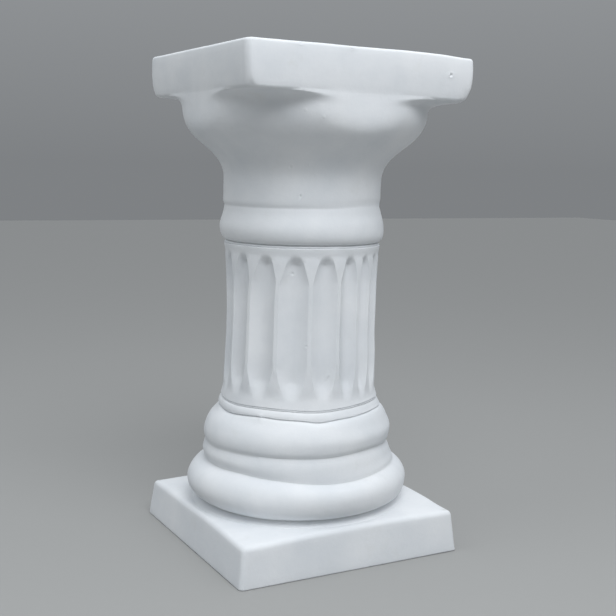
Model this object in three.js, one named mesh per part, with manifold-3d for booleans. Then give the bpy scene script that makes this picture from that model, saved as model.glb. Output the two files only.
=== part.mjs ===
// Concrete pedestal: a short fluted column cast in one piece with its square
// plinth and its square cap plate. Millimetres, +Z up, origin in the middle of
// the underside.
import * as THREE from 'three';
import { mergeVertices } from 'three/addons/utils/BufferGeometryUtils.js';
import Module from 'manifold-3d';

const wasm = await Module();
wasm.setup();

// Driving dimensions
const totalHeight = 600;
// The sides of the plinth lean in toward its top, those of the cap plate lean in toward its underside
const plinthPlate = { side: 295, thickness: 48, cornerRadius: 5, edgeRound: 4, leanTop: 5.6, leanFoot: 0 };
const capPlate = { side: 292, thickness: 52, cornerRadius: 6.5, edgeRound: 4.5, leanTop: -0.3, leanFoot: 2.2 };
const capLow = totalHeight - capPlate.thickness;
const roundFacets = 48;         // round the mouldings and the bell

// Lower torus with the small cove it stands in, then the band and the upper torus, as radii and heights
const footCove = { radius: 137, low: 47, pull: 3 };
const lowerTorus = {
  foot: 121.5, footHeight: 54, radius: 138.5, centre: 104.5, height: 78, top: 102, shoulder: 120.5,
};
const lowerTorusPull = { out: 8.5, up: 3, below: 12 };
const band = { low: 104.8, lowRadius: 119.2, high: 128.4, highRadius: 113.4 };
const bandPull = { low: 6, high: 8.4, highOut: 4 };
const upperTorus = { radius: 118, height: 142, top: 169.9, shoulder: 103 };
// how far the upper torus's curves run straight on from each of their ends
const upperTorusPull = { foot: 2, below: 6, above: 9.5, shoulder: 6 };
const fillet = {
  groove: 170.6, grooveRadius: 100.6, low: 172.4, lowRadius: 102, high: 181, highRadius: 99, edgeRound: 1,
};

// Shaft
const shaft = { waist: 93.9, waistHeight: 292, swell: 0.0003, foot: 176, top: 376, core: 92 };
const footFlare = { from: 196, out: 1.5, seat: 0.8 };
const topLip = { from: 369, out: 0.8, edge: 1.5 };

// Flutes
const fluteCount = 18;
const fluteDepth = 6.2;
const arrisWidth = 4.5;
const fluteTop = 365.5;
const fluteFoot = 191;
const topTaper = 30;            // height in which a flute opens to its full width under its pointed top
const footTaper = 34;
const topRamp = 10;             // height in which a flute reaches its full depth
const footRamp = 24;
const fluteTurn = -5.5;         // middle of the first flute, in degrees
// The flutes were set out by eye: how far their spacing drifts in degrees, and how many times round the shaft
const spacingDrifts = [
  { reach: 2.64, rounds: 2, phase: -79 },
  { reach: 3.26, rounds: 3, phase: 26 },
];

// Ring, neck and bell
const joint = { height: 377.3, radius: 94.6 };
const ring = { radius: 101.8, height: 393, pull: 9, top: 418, topRadius: 96.6 };
const ringTopPull = { out: 1.8, down: 8 };
const crease = { radius: 95.6, height: 423 };
const neck = { low: 426, lowRadius: 96.9, top: 456, radius: 97.2 };
const bell = { radius: 150.1, top: 536 };
const bellPull = { footOut: 4.8, footUp: 39.5, topIn: 1.7, topDown: 44.5 };
const eaves = { drop: 3.5, out: 14 };   // cove between the bell and the cap plate

const wallInset = 2.2;          // how far the bell's flat flanks lie behind the widest part of the cap plate
const bury = 8;                 // how far one form runs into the next before they are joined

const concrete = new THREE.MeshStandardMaterial({
  name: 'concrete',
  color: 0xe2e5e7,
  roughness: 0.85,
  metalness: 0,
});

const at = (radius, height) => new THREE.Vector2(radius, height);

function toSolid(geometry) {
  const bare = geometry.clone();
  bare.deleteAttribute('normal');
  bare.deleteAttribute('uv');
  const merged = mergeVertices(bare, 1e-4);
  const index = merged.getIndex().array;
  const triangles = [];
  for (let i = 0; i < index.length; i += 3) {
    const [a, b, c] = index.slice(i, i + 3);
    // a profile that starts on the axis leaves empty triangles at its poles
    if (a !== b && b !== c && c !== a) triangles.push(a, b, c);
  }
  return new wasm.Manifold(new wasm.Mesh({
    numProp: 3,
    vertProperties: Float32Array.from(merged.attributes.position.array),
    triVerts: Uint32Array.from(triangles),
  }));
}

function toGeometry(solid) {
  const mesh = solid.getMesh();
  const geometry = new THREE.BufferGeometry();
  geometry.setAttribute('position', new THREE.BufferAttribute(Float32Array.from(mesh.vertProperties), 3));
  geometry.setIndex(new THREE.BufferAttribute(Uint32Array.from(mesh.triVerts), 1));
  geometry.computeVertexNormals();
  return geometry;
}

// A profile of radius against height, turned about the column's axis.
function turned(profile, facets) {
  const geometry = new THREE.LatheGeometry(profile, facets);
  geometry.rotateX(Math.PI / 2);
  return geometry;
}

function roundedSquare(side, radius) {
  const half = side / 2;
  const inner = half - radius;
  const outline = new THREE.Shape();
  outline.moveTo(inner, -half);
  const corners = [[1, -1], [1, 1], [-1, 1], [-1, -1]];
  corners.forEach(([x, y], turn) => {
    const start = (turn - 1) * Math.PI / 2;
    outline.absarc(x * inner, y * inner, radius, start, start + Math.PI / 2, false);
  });
  outline.closePath();
  return outline;
}

// A square plate with soft edges and leaning sides.
function plate(low, { side, thickness, cornerRadius, edgeRound, leanTop, leanFoot }) {
  const geometry = new THREE.ExtrudeGeometry(roundedSquare(side, cornerRadius), {
    depth: thickness - 2 * edgeRound,
    bevelThickness: edgeRound,
    bevelSize: edgeRound,
    bevelOffset: -edgeRound,
    bevelSegments: 3,
    curveSegments: 4,
  });
  geometry.translate(0, 0, low + edgeRound);
  const place = geometry.attributes.position;
  for (let i = 0; i < place.count; i++) {
    const rise = (place.getZ(i) - low) / thickness;
    const scale = 1 - 2 * (leanTop * rise + leanFoot * (1 - rise)) / side;
    place.setX(i, place.getX(i) * scale);
    place.setY(i, place.getY(i) * scale);
  }
  return geometry;
}

function baseProfile() {
  const { foot, footHeight, radius, centre, height } = lowerTorus;
  const span = radius - centre;
  const upperTilt = Math.acos((lowerTorus.shoulder - centre) / span);
  const upperReach = (lowerTorus.top - height) / Math.sin(upperTilt);
  const cove = new THREE.QuadraticBezierCurve(
    at(footCove.radius, footCove.low),
    at(foot + footCove.pull, footCove.low + footCove.pull),
    at(foot, footHeight));
  const underside = new THREE.CubicBezierCurve(
    at(foot, footHeight),
    at(foot + lowerTorusPull.out, footHeight + lowerTorusPull.up),
    at(radius, height - lowerTorusPull.below),
    at(radius, height));
  const shoulder = new THREE.EllipseCurve(centre, height, span, upperReach, 0, upperTilt);
  const bandCurve = new THREE.CubicBezierCurve(
    at(band.lowRadius, band.low),
    at(band.lowRadius, band.low + bandPull.low),
    at(band.highRadius + bandPull.highOut, band.high - bandPull.high),
    at(band.highRadius, band.high));
  const roll = new THREE.CubicBezierCurve(
    at(band.highRadius, band.high),
    at(upperTorus.radius, band.high + upperTorusPull.foot),
    at(upperTorus.radius, upperTorus.height - upperTorusPull.below),
    at(upperTorus.radius, upperTorus.height));
  const crown = new THREE.CubicBezierCurve(
    at(upperTorus.radius, upperTorus.height),
    at(upperTorus.radius, upperTorus.height + upperTorusPull.above),
    at(upperTorus.shoulder + upperTorusPull.shoulder, upperTorus.top - upperTorusPull.shoulder),
    at(upperTorus.shoulder, upperTorus.top));
  return [
    at(0, plinthPlate.thickness - bury),
    at(footCove.radius, plinthPlate.thickness - bury),
    ...cove.getPoints(3),
    ...underside.getPoints(5).slice(1),
    ...shoulder.getPoints(4).slice(1),
    ...bandCurve.getPoints(2),
    ...roll.getPoints(3).slice(1),
    ...crown.getPoints(4).slice(1),
    at(fillet.grooveRadius, fillet.groove),
    at(fillet.lowRadius, fillet.low),
    at(fillet.highRadius, fillet.high - fillet.edgeRound),
    at(fillet.highRadius - fillet.edgeRound, fillet.high),
    at(0, fillet.high),
  ];
}

function shaftRadius(height) {
  let radius = shaft.waist + shaft.swell * (height - shaft.waistHeight) ** 2;
  if (height < footFlare.from) {
    radius += footFlare.out * ((footFlare.from - height) / (footFlare.from - fillet.high)) ** 2;
  }
  if (height > topLip.from) radius += topLip.out;
  return radius;
}

function shaftProfile() {
  const flutedHeights = [
    (fillet.high + fluteFoot) / 2, fluteFoot, fluteFoot + footRamp / 6, fluteFoot + footRamp / 2,
    fluteFoot + footRamp, fluteFoot + footTaper, shaft.waistHeight, fluteTop - topTaper,
    fluteTop - topTaper * 0.6, fluteTop - topRamp * 0.8, fluteTop - topRamp * 0.2, fluteTop,
    topLip.from + 1,
  ];
  const seatRadius = shaftRadius(fillet.high) - footFlare.seat;
  return [
    at(0, shaft.foot),
    at(seatRadius, shaft.foot),
    at(seatRadius, fillet.high),
    ...flutedHeights.map((height) => at(shaftRadius(height), height)),
    at(shaftRadius(shaft.top) - topLip.edge, shaft.top),
    at(shaft.core, joint.height),
    at(shaft.core, joint.height + bury),
    at(0, joint.height + bury),
  ];
}

const soften = (part) => THREE.MathUtils.smoothstep(part, 0, 1);

// How wide and how deep a flute is at a height, from 0 to 1: pointed at the
// top, where it starts abruptly, and run out softly at the foot.
function fluteOpening(height) {
  const below = Math.max(0, fluteTop - height);
  const above = Math.max(0, height - fluteFoot);
  return {
    width: Math.sqrt(Math.min(1, below / topTaper, above / footTaper)),
    depth: Math.min(soften(below / topRamp), soften(above / footRamp)),
  };
}

// Where a line set out by eye really stands round the shaft.
function drifted(even) {
  const start = THREE.MathUtils.degToRad(fluteTurn) + even;
  return spacingDrifts.reduce((angle, { reach, rounds, phase }) => (
    angle + THREE.MathUtils.degToRad(reach) * Math.sin(rounds * start + THREE.MathUtils.degToRad(phase))
  ), start);
}

// Moves the shaft's columns of points into flutes. Each flute has five columns
// from edge to edge, and a sixth lies on the middle of the ridge beside it.
const columnsPerFlute = 6;
const columns = fluteCount * columnsPerFlute;
const pitch = 2 * Math.PI / fluteCount;

function carveFlutes(geometry) {
  const place = geometry.attributes.position;
  const columnAngle = pitch / columnsPerFlute;
  for (let i = 0; i < place.count; i++) {
    const height = place.getZ(i);
    const radius = Math.hypot(place.getX(i), place.getY(i));
    const column = (Math.round(Math.atan2(place.getY(i), place.getX(i)) / columnAngle) + columns) % columns;
    const flute = Math.floor(column / columnsPerFlute);
    const slot = column - flute * columnsPerFlute;
    const opening = fluteOpening(height);
    const openHalf = (pitch - arrisWidth / shaft.waist) / 2 * opening.width;
    const plainHalf = pitch / 3;
    const half = opening.depth > 0 ? openHalf : plainHalf;
    const across = slot / 2 - 1;
    const onRidge = slot === columnsPerFlute - 1;
    const angle = drifted(flute * pitch + (onRidge ? pitch / 2 : across * half));
    const depth = onRidge ? 0 : fluteDepth * opening.depth * (1 - across ** 2);
    const carved = Math.max(0, radius - depth);
    place.setX(i, carved * Math.cos(angle));
    place.setY(i, carved * Math.sin(angle));
  }
  return geometry;
}

function capitalProfile() {
  const lip = new THREE.EllipseCurve(
    joint.radius, ring.height, ring.radius - joint.radius, ring.height - joint.height, -Math.PI / 2, 0);
  const flare = new THREE.CubicBezierCurve(
    at(ring.radius, ring.height),
    at(ring.radius, ring.height + ring.pull),
    at(ring.topRadius + ringTopPull.out, ring.top - ringTopPull.down),
    at(ring.topRadius, ring.top));
  const sweep = new THREE.CubicBezierCurve(
    at(neck.radius, neck.top),
    at(neck.radius + bellPull.footOut, neck.top + bellPull.footUp),
    at(bell.radius - bellPull.topIn, bell.top - bellPull.topDown),
    at(bell.radius, bell.top));
  const eavesRadius = bell.radius + eaves.out;
  return [
    at(0, joint.height),
    ...lip.getPoints(4),
    ...flare.getPoints(3).slice(1),
    at(crease.radius, crease.height),
    at(neck.lowRadius, neck.low),
    ...sweep.getPoints(10),
    at(bell.radius + eaves.out / 8, (bell.top + capLow - eaves.drop) / 2 + 1),
    at(bell.radius + eaves.out / 3, capLow - eaves.drop),
    at(eavesRadius, capLow),
    at(eavesRadius, capLow + bury),
    at(0, capLow + bury),
  ];
}

// The bell is wider than the cap plate is half wide, so its flanks are cut
// flat, just behind the plate's faces, and it stays round at the corners.
function flankTrim() {
  const side = capPlate.side - 2 * wallInset;
  const low = joint.height - bury;
  const high = capLow + 2 * bury;
  const geometry = new THREE.BoxGeometry(side, side, high - low);
  geometry.translate(0, 0, (high + low) / 2);
  return geometry;
}

const plinth = toSolid(plate(0, plinthPlate));
const base = toSolid(turned(baseProfile(), roundFacets));
const flutedShaft = toSolid(carveFlutes(turned(shaftProfile(), columns)));
const capital = toSolid(turned(capitalProfile(), roundFacets)).intersect(toSolid(flankTrim()));
const cap = toSolid(plate(capLow, capPlate));
const casting = [base, flutedShaft, capital, cap].reduce((whole, form) => whole.add(form), plinth);

const pedestal = new THREE.Mesh(toGeometry(casting), concrete);
pedestal.name = 'pedestal';

const object = new THREE.Group();
object.name = 'concrete_pedestal';
object.add(pedestal);

export default object;
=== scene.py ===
from math import atan2, cos, degrees, exp, hypot, pi, radians, sin, sqrt, tau

import bpy
from mathutils import Euler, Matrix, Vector, noise


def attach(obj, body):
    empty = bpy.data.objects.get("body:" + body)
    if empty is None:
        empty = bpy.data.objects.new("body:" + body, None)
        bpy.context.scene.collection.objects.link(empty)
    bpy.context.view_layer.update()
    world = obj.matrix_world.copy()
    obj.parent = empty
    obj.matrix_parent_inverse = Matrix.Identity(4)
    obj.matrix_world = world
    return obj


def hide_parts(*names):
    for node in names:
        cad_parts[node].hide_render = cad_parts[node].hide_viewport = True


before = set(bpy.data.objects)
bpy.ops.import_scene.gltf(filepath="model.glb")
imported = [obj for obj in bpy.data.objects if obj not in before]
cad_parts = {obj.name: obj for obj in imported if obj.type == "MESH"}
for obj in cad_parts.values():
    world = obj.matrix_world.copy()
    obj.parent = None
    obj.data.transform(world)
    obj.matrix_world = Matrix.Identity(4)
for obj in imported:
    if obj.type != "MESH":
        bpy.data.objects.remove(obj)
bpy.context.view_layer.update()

# Sizes are in millimetres and turns in radians, unless a comment says otherwise
MM = 0.001
HAIR = 0.01
TOTAL_HEIGHT = 600

# The cap plate: its sides bulge most at CAP_WIDEST and draw in from there by CAP_SWELL a square millimetre
CAP_SIDE = 292
CAP_THICKNESS = 52
CAP_LOW = TOTAL_HEIGHT - CAP_THICKNESS
CAP_WIDEST = 583
CAP_SWELL = 0.0024
CAP_TOP_RIM = 3.5
CAP_LOW_RIM = 4.5
NEAR_ROUND = 9
CAP_CORNER = 6

# The plinth: PLINTH_LEAN is how far each side leans in at the top
PLINTH_SIDE = 295
PLINTH_THICKNESS = 48
PLINTH_LEAN = 5.6
PLINTH_NEAR_CORNER = 6
PLINTH_CORNER = 4
PLINTH_TOP_RIM = 5.5
PLINTH_LOW_RIM = 2

# How far the column's ends reach into the two plates
BURIED = 9

# The shaft: its radius at the waist grows by SHAFT_SWELL a square millimetre up and down from there
SHAFT_WAIST = 93.9
WAIST_HEIGHT = 292
SHAFT_SWELL = 0.0003
SPREAD_LOW = 196
SPREAD_REACH = 14
SPREAD_OUT = 1.5
TOP_BAND = 369
TOP_BAND_OUT = 0.8
# where the shaft is uneven, as height, reach up and down, and how far out
SHAFT_UNEVEN = ((240, 22, 0.8), (197, 8, -0.8), (366, 6, -0.5))

# The flutes: the columns of points round the shaft fall in equal shares to them
FLUTES = 18
COLUMNS_PER_FLUTE = 16
COLUMNS_ACROSS = 12
AROUND = FLUTES * COLUMNS_PER_FLUTE
PITCH = tau / FLUTES
FLUTE_TURN = radians(-5.5)
FLUTE_DEPTH = 7.5
ARRIS_WIDTH = 4
FLUTE_TOP = 365.5
FLUTE_FOOT = 191
# over what heights each end narrows and runs out, and how wide its tip is beside the full width
TOP_TAPER = 32
FOOT_TAPER = 36
TOP_RAMP = 12
FOOT_RAMP = 26
TOP_TIP = 0.38
FOOT_TIP = 0.42
# the heights that the carving moves, and over what heights it settles into the plain rings
CARVED_FROM = 183
CARVED_TO = 374
SETTLE_FOOT = 8
SETTLE_TOP = 5
CLEAR_OF_AXIS = 60
# how the spacing drifts, as swings round the shaft, how far in degrees, and where it starts in degrees
DRIFT = ((2, 2.64, -79), (3, 3.26, 26))
# on one side the flutes' tops lean over, from a height on and over how much of it
TOP_LEAN = radians(4.5)
TOP_LEAN_FROM = 300
TOP_LEAN_OVER = 67
LEANING_SIDE = radians(-165)
LEANING_REACH_DEGREES = 35

# The bell's flanks, cut off flush with the cap plate's sides
FLANKS_FROM = 470
FLANK_SET_BACK = 0.3
FLANK_BLEND = 7

# The camera, in metres and degrees, the column's bearing toward it, and the way across its view
CAMERA_PLACE = (-0.6105, -1.1386, 0.4692)
CAMERA_TURN = (82.185, -1.272, -28.445)
CAMERA_LENS = 60.48
CAMERA_SENSOR = 36
TOWARD_CAMERA = radians(-118.2)
ACROSS_VIEW = (0.8813, -0.4726)


# Working by hand
def deselect_everything():
    if bpy.context.object and bpy.context.object.mode != "OBJECT":
        bpy.ops.object.mode_set(mode="OBJECT")
    bpy.ops.object.select_all(action="DESELECT")


def take(piece):
    deselect_everything()
    piece.select_set(True)
    bpy.context.view_layer.objects.active = piece


def edit(piece):
    take(piece)
    bpy.ops.object.mode_set(mode="EDIT")


def pick(piece, wanted, kind="VERT"):
    """Selects the vertices, edges or faces of a piece in edit mode that wanted() accepts."""
    bpy.ops.mesh.select_mode(type=kind)
    bpy.ops.mesh.select_all(action="DESELECT")
    bpy.ops.object.mode_set(mode="OBJECT")
    mesh = piece.data
    parts = {"VERT": mesh.vertices, "EDGE": mesh.edges, "FACE": mesh.polygons}[kind]
    for part in parts:
        part.select = wanted(part)
    bpy.ops.object.mode_set(mode="EDIT")


def apply_all(piece):
    take(piece)
    for modifier in list(piece.modifiers):
        bpy.ops.object.modifier_apply(modifier=modifier.name)


def move_points(piece, shift):
    """Moves each vertex to where shift() puts its place, both in millimetres."""
    for vertex in piece.data.vertices:
        vertex.co = shift(vertex.co / MM) * MM
    piece.data.update()


# Small sums that the shapes share
def soften(part):
    """A share from 0 to 1 that starts and ends gently."""
    part = min(1, max(0, part))
    return part * part * (3 - 2 * part)


def bump_at(value, middle, width):
    """1 at the middle, falling off to nothing a little past the width on both sides."""
    return exp(-((value - middle) / width) ** 2)


def wrapped(turn):
    """The same turn between half a round back and half a round on."""
    return (turn + pi) % tau - pi


def rows(low, high, step):
    """Even places from low to high, about a step apart."""
    count = max(1, round((high - low) / step))
    return [low + (high - low) * i / count for i in range(count + 1)]


# Curves of the profile, as (radius, height) points
def arc(centre, reach, start, end, steps):
    """Part of an ellipse from start to end, in degrees up from its outer side."""
    turns = [radians(start + (end - start) * i / steps) for i in range(steps + 1)]
    return [(centre[0] + reach[0] * cos(turn), centre[1] + reach[1] * sin(turn)) for turn in turns]


def sweep(start, start_pull, end_pull, end, steps):
    """A freely bent stretch that leaves each end toward its pull."""
    corners = (start, start_pull, end_pull, end)
    points = []
    for i in range(steps + 1):
        t = i / steps
        weights = ((1 - t) ** 3, 3 * t * (1 - t) ** 2, 3 * t * t * (1 - t), t ** 3)
        points.append(tuple(sum(w * p[k] for w, p in zip(weights, corners)) for k in (0, 1)))
    return points


def eased(points):
    """The same profile with its corners worn round, as paint and casting leave them."""
    middle = []
    for before, here, after in zip(points, points[1:], points[2:]):
        middle.append(tuple(0.25 * before[k] + 0.5 * here[k] + 0.25 * after[k] for k in (0, 1)))
    return [points[0], *middle, points[-1]]


def shaft_radius(height):
    radius = SHAFT_WAIST + SHAFT_SWELL * (height - WAIST_HEIGHT) ** 2
    if height < SPREAD_LOW:
        radius += SPREAD_OUT * ((SPREAD_LOW - height) / SPREAD_REACH) ** 2
    if height > TOP_BAND:
        radius += TOP_BAND_OUT
    return radius + sum(out * bump_at(height, middle, reach) for middle, reach, out in SHAFT_UNEVEN)


def base_profile():
    """From the plinth up: a cove, the lower torus, the band, the upper torus and the fillet."""
    torus_foot = (121.5, 54)
    torus_side = (139, 78)
    band_top = (113.4, 128.4)
    roll_side = (117.6, 142)
    cove = sweep((137, 47), (129, 49), (124, 51), torus_foot, 5)
    underside = sweep(torus_foot, (130, 57), (139.3, 66), torus_side, 13)[1:]
    shoulder = arc((104.5, 78), (34.5, 27.2), 0, 61.93, 11)[1:]
    band = sweep((119.4, 104.8), (120.6, 111), (118.8, 120), band_top, 9)
    roll = sweep(band_top, (117.6, 130.4), (117.6, 136), roll_side, 6)[1:]
    crown = sweep(roll_side, (117.6, 151.5), (108.2, 163.4), (103.0, 169.9), 11)[1:]
    groove = [(101.6, 170.2), (100.5, 170.6), (100.2, 171.1), (101.2, 171.5)]
    fillet = [(102.3, 171.9), (102.1, 173.2), (101.3, 175.4), (100.2, 178), (99.2, 179.8), (98.2, 180.6),
              (96.6, 180.9)]
    return [(135, PLINTH_THICKNESS - BURIED), *cove, *underside, *shoulder, (119, 103.6), *band, *roll,
            *crown, *groove, *fillet]


def shaft_profile():
    """Rings close together where the flutes end, and wide apart between."""
    foot = [181.8, *rows(184, 216, 2)]
    middle = rows(222, 330, 7)
    top = [*rows(334, FLUTE_TOP, 2.1), 369.2, 371, 373.4, 375.2]
    return [(shaft_radius(height), height) for height in [*foot, *middle, *top]]


def capital_profile():
    """From the shaft up: a groove, the ring, a crease, the neck, the bell and a cove under the cap plate."""
    bell_foot = (97.2, 456)
    bell_side = (150.1, 536)
    groove = [(94.2, 376.4), (92.8, 377.3), (94.6, 378)]
    ring = arc((94.6, 393), (7.2, 15.2), -84, 0, 9)
    ring_top = sweep((101.8, 393), (101.8, 402), (97.7, 409.6), (96.6, 418), 9)[1:]
    crease = [(95.9, 419.4), (95.6, 420.6), (96.3, 421.8)]
    neck = [(96.9, 424), (97.1, 428), (97.2, 433), (97.2, 438), (97.2, 444), (97.2, 449)]
    bell = sweep(bell_foot, (102.8, 494), (147.7, 492), bell_side, 32)
    cove = sweep(bell_side, (150.4, 543), (157, CAP_LOW - 0.6), (172, CAP_LOW + 0.6), 8)[1:]
    hidden = [(173, CAP_LOW + 2), (173, CAP_LOW + BURIED)]
    return [*groove, *ring, *ring_top, *crease, *neck, *bell, *cove, *hidden]


# The turned column
def draw_profile(name, points):
    """A chain of edges beside the axis, drawn by pulling one point along."""
    deselect_everything()
    bpy.ops.mesh.primitive_plane_add(size=MM, location=(0, 0, 0))
    chain = bpy.context.object
    chain.name = name
    bpy.ops.object.mode_set(mode="EDIT")
    bpy.ops.mesh.select_all(action="SELECT")
    bpy.ops.mesh.merge(type="CENTER")
    places = [Vector((radius, 0, height)) * MM for radius, height in points]
    bpy.ops.transform.translate(value=places[0])
    for here, after in zip(places, places[1:]):
        bpy.ops.mesh.extrude_vertices_move(TRANSFORM_OT_translate={"value": after - here})
    bpy.ops.object.mode_set(mode="OBJECT")
    return chain


def spin_column():
    body = eased([*base_profile(), *shaft_profile(), *capital_profile()])
    column = draw_profile("pedestal_concrete", [(0, body[0][1]), *body, (0, body[-1][1])])
    edit(column)
    bpy.ops.mesh.select_all(action="SELECT")
    bpy.ops.mesh.spin(steps=AROUND, angle=tau, center=(0, 0, 0), axis=(0, 0, 1))
    bpy.ops.mesh.select_all(action="SELECT")
    bpy.ops.mesh.remove_doubles(threshold=HAIR * MM)
    bpy.ops.mesh.normals_make_consistent(inside=False)
    bpy.ops.object.mode_set(mode="OBJECT")
    return column


def flute_opening(height):
    """How wide and how deep a flute is at a height, from 0 to 1."""
    below = FLUTE_TOP - height
    above = height - FLUTE_FOOT
    depth = min(soften(below / TOP_RAMP), soften(above / FOOT_RAMP))
    narrow_top = TOP_TIP + (1 - TOP_TIP) * min(1, max(0, below / TOP_TAPER)) ** 0.8
    narrow_foot = FOOT_TIP + (1 - FOOT_TIP) * min(1, max(0, above / FOOT_TAPER)) ** 0.8
    return min(narrow_top, narrow_foot), depth


def drifted(even):
    """Where a line set out by eye really stands round the shaft."""
    stood = even
    for swings, reach, start in DRIFT:
        stood += radians(reach) * sin(swings * even + radians(start))
    return stood


def carve_flutes(place):
    """Presses the shaft's points in for the flutes, and draws them together into columns along each."""
    height = place.z
    radius = hypot(place.x, place.y)
    if not CARVED_FROM < height < CARVED_TO or radius < CLEAR_OF_AXIS:
        return place
    column = round(Vector((1, 0)).angle_signed(Vector((place.x, -place.y))) / (tau / AROUND)) % AROUND
    flute, slot = divmod(column, COLUMNS_PER_FLUTE)
    width, depth = flute_opening(height)
    half = (PITCH - ARRIS_WIDTH / SHAFT_WAIST) / 2 * width
    if slot <= COLUMNS_ACROSS:
        across = 2 * slot / COLUMNS_ACROSS - 1
        turn = across * half
        cut = FLUTE_DEPTH * depth * (1 - across * across)
    else:
        ridge = (slot - COLUMNS_ACROSS) / (COLUMNS_PER_FLUTE - COLUMNS_ACROSS)
        turn = half + (PITCH - 2 * half) * ridge
        cut = 0
    middle = flute * PITCH + FLUTE_TURN
    plain = middle + (slot / COLUMNS_PER_FLUTE - COLUMNS_ACROSS / 2 / COLUMNS_PER_FLUTE) * PITCH
    stood = drifted(middle + turn)
    leaning = bump_at(degrees(wrapped(stood - LEANING_SIDE)), 0, LEANING_REACH_DEGREES)
    stood += TOP_LEAN * soften((height - TOP_LEAN_FROM) / TOP_LEAN_OVER) * leaning
    settle = soften((height - CARVED_FROM) / SETTLE_FOOT) * soften((CARVED_TO - height) / SETTLE_TOP)
    angle = settle * stood + (1 - settle) * plain
    return Vector(((radius - cut) * cos(angle), (radius - cut) * sin(angle), height))


def cap_inset(height):
    """How far the cap plate's sides lie in from its widest place."""
    return CAP_SWELL * (height - CAP_WIDEST) ** 2


def plinth_inset(height):
    """How far the plinth's sides lie in from its foot."""
    return PLINTH_LEAN * height / PLINTH_THICKNESS


def flatten_flanks(place):
    """The bell is wider than the cap plate, so its flanks run flush with the plate's sides."""
    radius = hypot(place.x, place.y)
    reach = max(abs(place.x), abs(place.y))
    if place.z < FLANKS_FROM or reach < 1:
        return place
    flank_half = CAP_SIDE / 2 - FLANK_SET_BACK - cap_inset(max(place.z, CAP_LOW + CAP_LOW_RIM))
    limit = flank_half * radius / reach
    gap = radius - limit
    if gap < -FLANK_BLEND:
        return place
    trimmed = limit
    if gap < FLANK_BLEND:
        trimmed -= (FLANK_BLEND - gap) ** 2 / (4 * FLANK_BLEND)
    return Vector((place.x * trimmed / radius, place.y * trimmed / radius, place.z))


# The two square plates: the steps of their roundings, and the lines cut across them so that their faces
# can be worn uneven, as how far apart these are and how far from the edges they stop
NEAR_STEPS = 7
CORNER_STEPS = 6
TOP_RIM_STEPS = 5
LOW_RIM_STEPS = 6
LINES_APART = 9
LINES_FROM_SIDES = 13
LEVELS_APART = 7
LEVELS_FROM_RIMS = 10
SHORTEST_UPRIGHT = 10


def is_upright(a, b):
    return abs(a.z - b.z) > SHORTEST_UPRIGHT * MM


def is_near(a, b):
    return is_upright(a, b) and a.x < 0 and a.y < 0


def rounded(plate, wanted, radius, steps):
    """Rounds the plate's edges that wanted() accepts by their two ends."""
    def chosen(edge):
        a, b = (plate.data.vertices[i].co for i in edge.vertices)
        return wanted(a, b)

    pick(plate, chosen, "EDGE")
    bpy.ops.mesh.bevel(offset=radius * MM, segments=steps, profile=0.5, affect="EDGES")


def cut_lines(plate, side, low, high):
    reach = side / 2 - LINES_FROM_SIDES
    for axis in (0, 1):
        for place in rows(-reach, reach, LINES_APART):
            where = [0, 0, 0]
            where[axis] = place * MM
            normal = [0, 0, 0]
            normal[axis] = 1
            bpy.ops.mesh.select_all(action="SELECT")
            bpy.ops.mesh.bisect(plane_co=where, plane_no=normal)
    for height in rows(low + LEVELS_FROM_RIMS, high - LEVELS_FROM_RIMS, LEVELS_APART):
        bpy.ops.mesh.select_all(action="SELECT")
        bpy.ops.mesh.bisect(plane_co=(0, 0, height * MM), plane_no=(0, 0, 1))


def square_plate(name, side, low, high, corners, rims):
    """A square plate with its near corner and its others, then its top rim and its low one, rounded."""
    near_corner, other_corners = corners
    top_rim, low_rim = rims
    deselect_everything()
    bpy.ops.mesh.primitive_cube_add(size=1, location=(0, 0, (low + high) / 2 * MM),
                                    scale=(side * MM, side * MM, (high - low) * MM))
    plate = bpy.context.object
    plate.name = name
    bpy.ops.object.transform_apply(location=True, rotation=True, scale=True)
    bpy.ops.object.mode_set(mode="EDIT")
    rounded(plate, is_near, near_corner, NEAR_STEPS)
    rounded(plate, lambda a, b: is_upright(a, b) and not is_near(a, b), other_corners, CORNER_STEPS)
    rounded(plate, lambda a, b: min(a.z, b.z) > (high - HAIR) * MM, top_rim, TOP_RIM_STEPS)
    rounded(plate, lambda a, b: max(a.z, b.z) < (low + HAIR) * MM, low_rim, LOW_RIM_STEPS)
    cut_lines(plate, side, low, high)
    bpy.ops.object.mode_set(mode="OBJECT")
    return plate


def lean_sides(plate, side, inset):
    """Draws the plate in to where inset() says that its sides lie at a height."""
    def lean(place):
        scale = 1 - 2 * inset(place.z) / side
        return Vector((place.x * scale, place.y * scale, place.z))

    move_points(plate, lean)


# The cap's near corner is rubbed away toward its left side. The points of its rounding, from left to right,
# as how far they lie from the left face and from the right one
RUBBED_CORNER = ((0, 11), (0.25, 8.2), (0.9, 5.8), (1.9, 3.7), (3.1, 2.0), (4.3, 0.9), (5.6, 0.25), (9, 0))
# the rims' points lie farther than this from the rounding's middle
INSIDE_RIMS = 4


def rub_near_corner(place):
    left = place.x + CAP_SIDE / 2
    right = place.y + CAP_SIDE / 2
    reach = hypot(NEAR_ROUND - left, NEAR_ROUND - right)
    if max(left, right) > NEAR_ROUND + HAIR or reach < INSIDE_RIMS:
        return place
    turn = atan2(NEAR_ROUND - right, NEAR_ROUND - left)
    along = turn / (pi / 2) * (len(RUBBED_CORNER) - 1)
    step = min(int(along), len(RUBBED_CORNER) - 2)
    part = along - step
    before, after = RUBBED_CORNER[step:step + 2]
    inward = NEAR_ROUND - reach
    x = before[0] + (after[0] - before[0]) * part + inward * cos(turn)
    y = before[1] + (after[1] - before[1]) * part + inward * sin(turn)
    return Vector((x - CAP_SIDE / 2, y - CAP_SIDE / 2, place.z))


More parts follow.
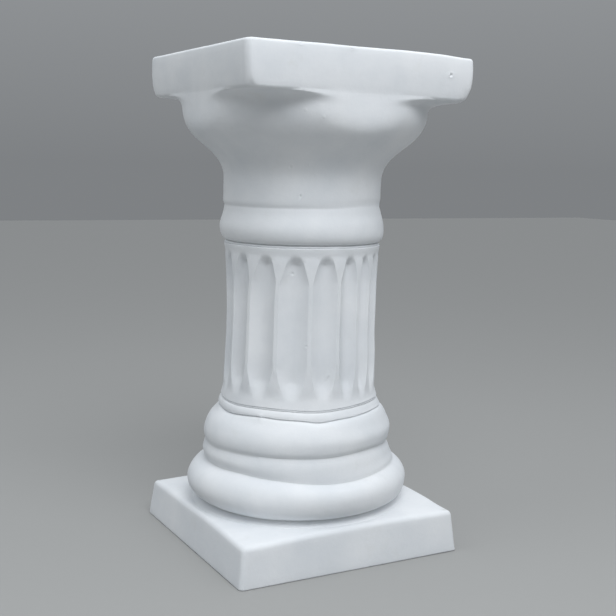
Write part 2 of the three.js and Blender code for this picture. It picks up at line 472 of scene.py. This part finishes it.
def make_plinth():
    corners = (PLINTH_NEAR_CORNER, PLINTH_CORNER)
    rims = (PLINTH_TOP_RIM, PLINTH_LOW_RIM)
    plinth = square_plate("plinth", PLINTH_SIDE, 0, PLINTH_THICKNESS, corners, rims)
    lean_sides(plinth, PLINTH_SIDE, plinth_inset)
    return plinth


def make_cap():
    corners = (NEAR_ROUND, CAP_CORNER)
    rims = (CAP_TOP_RIM, CAP_LOW_RIM)
    cap = square_plate("cap", CAP_SIDE, CAP_LOW, TOTAL_HEIGHT, corners, rims)
    move_points(cap, rub_near_corner)
    lean_sides(cap, CAP_SIDE, cap_inset)
    return cap


def unite(piece, others):
    for other in others:
        join = piece.modifiers.new("join", "BOOLEAN")
        join.operation = "UNION"
        join.solver = "EXACT"
        join.object = other
    apply_all(piece)
    for other in others:
        bpy.data.objects.remove(other)


def rub_flanks(piece):
    """Rubs smooth where the bell's flanks run into the sides of the cap plate."""
    flush_out = 140
    flush_aside = 48
    flush_low = CAP_LOW - 6
    flush_high = CAP_LOW + 9

    def flush(vertex):
        place = vertex.co / MM
        out = max(abs(place.x), abs(place.y))
        aside = min(abs(place.x), abs(place.y))
        return out > flush_out and aside < flush_aside and flush_low < place.z < flush_high

    edit(piece)
    pick(piece, flush)
    bpy.ops.mesh.vertices_smooth(factor=0.5, repeat=10)
    bpy.ops.object.mode_set(mode="OBJECT")


# Below this share, what a mark or swing does at a place is left out
FAINT = 0.01

# Rubbed and knocked places of the plates: where, how far that reaches, and how far the points there moved
WORN = (
    ((-141.5, -144.5, CAP_LOW + 1), 4.5, (1.2, 1.6, 2.6)),
    ((142, -142, CAP_LOW + 1), 11, (-2.2, 2.2, 2.4)),
    ((-142, 142, CAP_LOW + 1), 8, (1.2, -1.2, 1.2)),
    ((141, -141, TOTAL_HEIGHT), 26, (0, 0, -1.5)),
    ((50, -146, TOTAL_HEIGHT), 60, (0, 0, 0.9)),
    ((143, -60, PLINTH_THICKNESS), 65, (0, 0, 1.9)),
)


def worn(place):
    for middle, reach, move in WORN:
        near = exp(-((place - Vector(middle)).length / reach) ** 2)
        if near > FAINT:
            place = place + near * Vector(move)
    return place


# Small lumps and pinholes: on the column by bearing and height, and on the cap's right face by x and height,
# each with its radius and how far it stands out
COLUMN_MARKS = (
    (-26, 171.2, 1.9, 1.4), (-1, 434.9, 1.3, -1), (-8, 467.6, 1.6, -0.6), (4, 470.3, 1.7, 0.5),
    (23, 220.9, 1.7, -0.7), (-18, 227.4, 1.7, 0.6), (5, 259, 1.6, -0.6), (-7, 344, 1.8, -0.6),
    (0, 529.5, 2.2, 0.5), (8, 522.5, 2.2, 0.5),
    # on the sides that the photo doesn't show
    (150, 300, 1.6, -0.8), (-120, 498, 1.5, -0.8), (110, 142, 1.6, -0.8),
)
FACE_MARKS = ((111.9, 577.7, 1.8, -1.3), (-84.4, 597.5, 1.2, -0.8), (-21.5, 597, 1.2, -0.8))
MARKED_FROM = 150
MARKED_TO = 540
MARK_REACH = 12
# the two rounds of cutting finer, as how far from a mark and down to what face in square millimetres
FINER_ROUNDS = ((8, 16), (4, 0))
# a mark's shape: how steep it is, and its raised rim's share of its depth, place and width in its radius
MARK_STEEPNESS = 1.5
MARK_ENDS = 4
RIM_SHARE = 0.25
RIM_PLACE = 1.7
RIM_WIDTH = 0.6


def marks_near(place):
    """The small marks by the place, as how far it is from each, the way out, and the mark's size."""
    found = []
    radius = hypot(place.x, place.y)
    if MARKED_FROM < place.z < MARKED_TO:
        for bearing, height, size, out in COLUMN_MARKS:
            if abs(place.z - height) < MARK_REACH:
                turn = wrapped(atan2(place.y, place.x) - TOWARD_CAMERA - radians(bearing))
                far = hypot(turn * radius, place.z - height)
                found.append((far, Vector((place.x / radius, place.y / radius, 0)), size, out))
    if place.z > CAP_LOW and place.y < MARK_REACH - CAP_SIDE / 2:
        for x, height, size, out in FACE_MARKS:
            found.append((hypot(place.x - x, place.z - height), Vector((0, -1, 0)), size, out))
    return found


def cut_finer(piece):
    """Divides the faces near the small marks, and those close by once more."""
    for reach, least_area in FINER_ROUNDS:
        def close(face):
            if face.area < least_area * MM * MM:
                return False
            return any(far < reach for far, *_ in marks_near(face.center / MM))

        edit(piece)
        pick(piece, close, "FACE")
        bpy.ops.mesh.subdivide(number_cuts=3)
        bpy.ops.object.mode_set(mode="OBJECT")


def press_mark(place):
    """Presses the place in for a pinhole, or out for a lump, with a faint rim round both."""
    moved = place
    for far, way_out, size, out in marks_near(place):
        if far < MARK_ENDS * size:
            rim = RIM_SHARE * abs(out) * bump_at(far, RIM_PLACE * size, RIM_WIDTH * size)
            moved = moved + way_out * (out * exp(-MARK_STEEPNESS * (far / size) ** 2) + rim)
    return moved


# Marks of the hand: the casting is a little out of true.
# Where a line of the mouldings wanders up or down: its height, how far that reaches up and down,
# then each swing as its bearing, how far it reaches round, and how far up it goes
WANDERING = (
    (423, 6, ((56, 24, 4.0),)),
    (183, 4.5, ((-52, 16, -1.8), (10, 14, -1.6), (62, 30, 2.4))),
    (171, 4.5, ((-56, 14, -2.6), (-26, 10, 1.2), (14, 9, -2.6), (66, 26, 3.2))),
    (128.5, 7, ((50, 20, 2.8), (-62, 14, -1.6))),
    (105, 9, ((24, 32, -5.6), (-38, 12, 1.2))),
)
# where the column stands off its axis: height, how far that reaches, and how far to the right
OFF_AXIS = (
    (525, 22, 0.8), (474, 12, -0.5), (441, 24, -1.2), (425, 4, -1), (395, 8, -0.7), (310, 50, 0.6),
    (240, 20, 0.4), (166, 6, 2), (140, 6, -0.7), (128, 12, -2.8), (114, 5, -1.2), (104, 7, 1.9),
    (75, 9, -1.1),
)
# how the cap plate lies: its rise, how far it tips down at the right corner, and over what height it starts
CAP_RISE = 0.2
CAP_TIP = 2.1
CAP_TIP_OVER = 14
# how the plinth's top lies: its rise, its run for each millimetre up, and the swelling under the column
PLINTH_RISE = 0.6
PLINTH_RUN_X = 88
PLINTH_RUN_Y = 230
SWELLING = 2.2
SWELLING_FROM = 135
SWELLING_OVER = 55
PLINTH_RISE_ENDS = PLINTH_THICKNESS + 20
PLINTH_RISE_FADES = 18
# the waves of the surface: how long, how deep, and where in the noise they are taken
WAVES = ((95, 0.8, (3.1, 7.7, 1.9)), (22, 0.22, (8.3, 2.2, 5.1)))
WAVES_SEED = 5
FOOT_KEPT_FLAT = 12


def bearing_of(place):
    """Degrees to the right of the camera's side, round the column."""
    return degrees(wrapped(atan2(place.y, place.x) - TOWARD_CAMERA))


def wander(place):
    bearing = bearing_of(place)
    rise = 0
    for height, reach, swings in WANDERING:
        near = bump_at(place.z, height, reach)
        if near > FAINT:
            rise += near * sum(up * bump_at(bearing, middle, width) for middle, width, up in swings)
    return rise


def plate_rise(place):
    """How far the point moves up with the cap plate or with the plinth's top."""
    height = place.z
    if height > CAP_LOW - CAP_TIP_OVER:
        across = (place.x * ACROSS_VIEW[0] + place.y * ACROSS_VIEW[1]) / (CAP_SIDE / sqrt(2))
        return (CAP_RISE - CAP_TIP * across) * soften((height - CAP_LOW + CAP_TIP_OVER) / CAP_TIP_OVER)
    if height < PLINTH_RISE_ENDS:
        share = soften(height / PLINTH_THICKNESS) * soften((PLINTH_RISE_ENDS - height) / PLINTH_RISE_FADES)
        dome = SWELLING * (1 - soften((hypot(place.x, place.y) - SWELLING_FROM) / SWELLING_OVER))
        return (PLINTH_RISE + place.x / PLINTH_RUN_X - place.y / PLINTH_RUN_Y + dome) * share
    return 0


def out_of_true(place):
    aside = sum(shift * bump_at(place.z, middle, reach) for middle, reach, shift in OFF_AXIS)
    rise = wander(place) + plate_rise(place)
    uneven = Vector((0, 0, 0))
    for length, depth, start in WAVES:
        uneven += noise.noise_vector(place / length + Vector(start)) * depth
    shift = Vector((ACROSS_VIEW[0] * aside, ACROSS_VIEW[1] * aside, rise))
    return place + shift + uneven * soften(place.z / FOOT_KEPT_FLAT)


def note_hollows(piece):
    """Keeps in the mesh how hollow it is at each vertex: above 0.5 in a groove, below on an edge."""
    mesh = piece.data
    shortest = 0.5 * MM
    total = [0.0] * len(mesh.vertices)
    count = [0] * len(mesh.vertices)
    for link in mesh.edges:
        a, b = link.vertices
        along = mesh.vertices[b].co - mesh.vertices[a].co
        length = max(along.length, shortest)
        total[a] += along.dot(mesh.vertices[a].normal) / length
        total[b] -= along.dot(mesh.vertices[b].normal) / length
        count[a] += 1
        count[b] += 1
    hollow = mesh.attributes.new("hollow", "FLOAT", "POINT")
    for i, (amount, links) in enumerate(zip(total, count)):
        hollow.data[i].value = min(1, max(0, 0.5 + amount / max(1, links)))


# Materials
FRESH_WHITE = (0.80, 0.815, 0.83)
DULL_WHITE = (0.71, 0.735, 0.76)
STAIN_GREY = (0.66, 0.67, 0.655)
# grey for the grooves and creases: painted shade, with a little dust
DUST_AND_SHADE_GREY = (0.50, 0.51, 0.49)
FLOOR_GREY = (0.34, 0.34, 0.332)


def concrete_material():
    """White painted concrete: mottled, faintly stained, with painted shade and a little dust darkening its
    hollows, and a sandy skin.
    """
    material = bpy.data.materials.new("white_concrete")
    material.use_nodes = True
    nodes, links = material.node_tree.nodes, material.node_tree.links
    shader = nodes["Principled BSDF"]
    shader.inputs["Specular IOR Level"].default_value = 0.35
    place = nodes.new("ShaderNodeTexCoord").outputs["Object"]

    def grain(scale, detail, rough=0.55):
        node = nodes.new("ShaderNodeTexNoise")
        node.inputs["Scale"].default_value = scale
        node.inputs["Detail"].default_value = detail
        node.inputs["Roughness"].default_value = rough
        links.new(place, node.inputs["Vector"])
        return node.outputs["Fac"]

    def ramp(value, low, high, start, end):
        node = nodes.new("ShaderNodeMapRange")
        node.inputs["From Min"].default_value = low
        node.inputs["From Max"].default_value = high
        node.inputs["To Min"].default_value = start
        node.inputs["To Max"].default_value = end
        links.new(value, node.inputs["Value"])
        return node.outputs["Result"]

    def blend(amount, first, second):
        node = nodes.new("ShaderNodeMix")
        node.data_type = "RGBA"
        links.new(amount, node.inputs["Factor"])
        for socket, colour in ((node.inputs[6], first), (node.inputs[7], second)):
            if isinstance(colour, tuple):
                socket.default_value = (*colour, 1)
            else:
                links.new(colour, socket)
        return node.outputs[2]

    def bump(height, distance, normal=None):
        node = nodes.new("ShaderNodeBump")
        node.inputs["Strength"].default_value = 0.35
        node.inputs["Distance"].default_value = distance
        links.new(height, node.inputs["Height"])
        if normal:
            links.new(normal, node.inputs["Normal"])
        return node.outputs["Normal"]

    mottle = grain(11, 5)
    stain = grain(38, 4, 0.6)
    sand = grain(900, 3)
    skin = grain(160, 5, 0.6)
    hollow = nodes.new("ShaderNodeAttribute")
    hollow.attribute_name = "hollow"

    colour = blend(ramp(mottle, 0.36, 0.66, 0, 1), DULL_WHITE, FRESH_WHITE)
    colour = blend(ramp(stain, 0.60, 0.82, 0, 0.35), colour, STAIN_GREY)
    # painted shade: the hollows of grooves and creases are darkened toward grey where shade falls, with a
    # little dust
    colour = blend(ramp(hollow.outputs["Fac"], 0.56, 0.80, 0, 0.45), colour, DUST_AND_SHADE_GREY)
    links.new(colour, shader.inputs["Base Color"])
    links.new(ramp(skin, 0.3, 0.7, 0.72, 0.9), shader.inputs["Roughness"])
    links.new(bump(sand, 0.0002, bump(skin, 0.0006)), shader.inputs["Normal"])
    return material


def floor_material():
    material = bpy.data.materials.new("pale_floor")
    material.use_nodes = True
    shader = material.node_tree.nodes["Principled BSDF"]
    shader.inputs["Base Color"].default_value = (*FLOOR_GREY, 1)
    shader.inputs["Roughness"].default_value = 0.9
    return material


# The scene round the pedestal, in metres. The sky's colour by the height of its direction
SKY = ((0, (0.21, 0.22, 0.23)), (0.35, (0.355, 0.37, 0.385)), (0.8, (0.865, 0.90, 0.94)))
# each lamp's name, bearing in degrees, distance from the axis, height, size, power in watts and colour
LAMPS = (
    ("key", 16, 1.1, 1.75, 1.1, 17.5, (0.975, 1, 1.03)),
    ("right", 50, 1.3, 1.3, 0.8, 1.3, (0.975, 1, 1.03)),
    ("left", -65, 1.2, 1.5, 0.8, 2.6, (0.95, 1, 1.02)),
)
LIT_PLACE = Vector((0, 0, 0.3))
FLOOR_SIDE = 14


def around(bearing, distance, height):
    """A place at a bearing in degrees to the right of the camera's, seen from the column."""
    turn = TOWARD_CAMERA + radians(bearing)
    return (distance * cos(turn), distance * sin(turn), height)


def soft_light(name, place, size, power, colour):
    bpy.ops.object.light_add(type="AREA", location=place)
    light = bpy.context.object
    light.name = name
    light.data.shape = "DISK"
    light.data.size = size
    light.data.energy = power
    light.data.color = colour
    aim = LIT_PLACE - Vector(place)
    light.rotation_euler = aim.to_track_quat("-Z", "Y").to_euler()


def hang_lamps():
    for name, bearing, distance, height, size, power, colour in LAMPS:
        soft_light(name, around(bearing, distance, height), size, power, colour)


def set_camera():
    bpy.ops.object.camera_add(location=CAMERA_PLACE)
    camera = bpy.context.object
    camera.rotation_euler = Euler([radians(turn) for turn in CAMERA_TURN], "XYZ")
    camera.data.sensor_width = CAMERA_SENSOR
    camera.data.lens = CAMERA_LENS
    bpy.context.scene.camera = camera


def lay_floor():
    deselect_everything()
    bpy.ops.mesh.primitive_plane_add(size=FLOOR_SIDE, location=(0, 0, 0))
    floor = bpy.context.object
    floor.name = "floor"
    floor.data.materials.append(floor_material())


def set_sky():
    world = bpy.data.worlds.new("pale_sky")
    world.use_nodes = True
    nodes, links = world.node_tree.nodes, world.node_tree.links
    apart = nodes.new("ShaderNodeSeparateXYZ")
    links.new(nodes.new("ShaderNodeTexCoord").outputs["Generated"], apart.inputs["Vector"])
    sky = nodes.new("ShaderNodeValToRGB")
    stops = sky.color_ramp.elements
    while len(stops) < len(SKY):
        stops.new(1)
    for stop, (height, colour) in zip(stops, SKY):
        stop.position = height
        stop.color = (*colour, 1)
    links.new(apart.outputs["Z"], sky.inputs["Fac"])
    links.new(sky.outputs["Color"], nodes["Background"].inputs["Color"])
    bpy.context.scene.world = world
    bpy.context.scene.view_settings.view_transform = "Standard"


# The pedestal, from the turned column to its finish
noise.seed_set(WAVES_SEED)
column = spin_column()
move_points(column, carve_flutes)
move_points(column, flatten_flanks)
unite(column, [make_plinth(), make_cap()])
rub_flanks(column)
move_points(column, worn)
cut_finer(column)
move_points(column, press_mark)
move_points(column, out_of_true)
note_hollows(column)
take(column)
bpy.ops.object.shade_smooth_by_angle(angle=radians(38))
column.data.materials.clear()
column.data.materials.append(concrete_material())
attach(column, "root")
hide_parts("pedestal")

lay_floor()
set_sky()
hang_lamps()
set_camera()
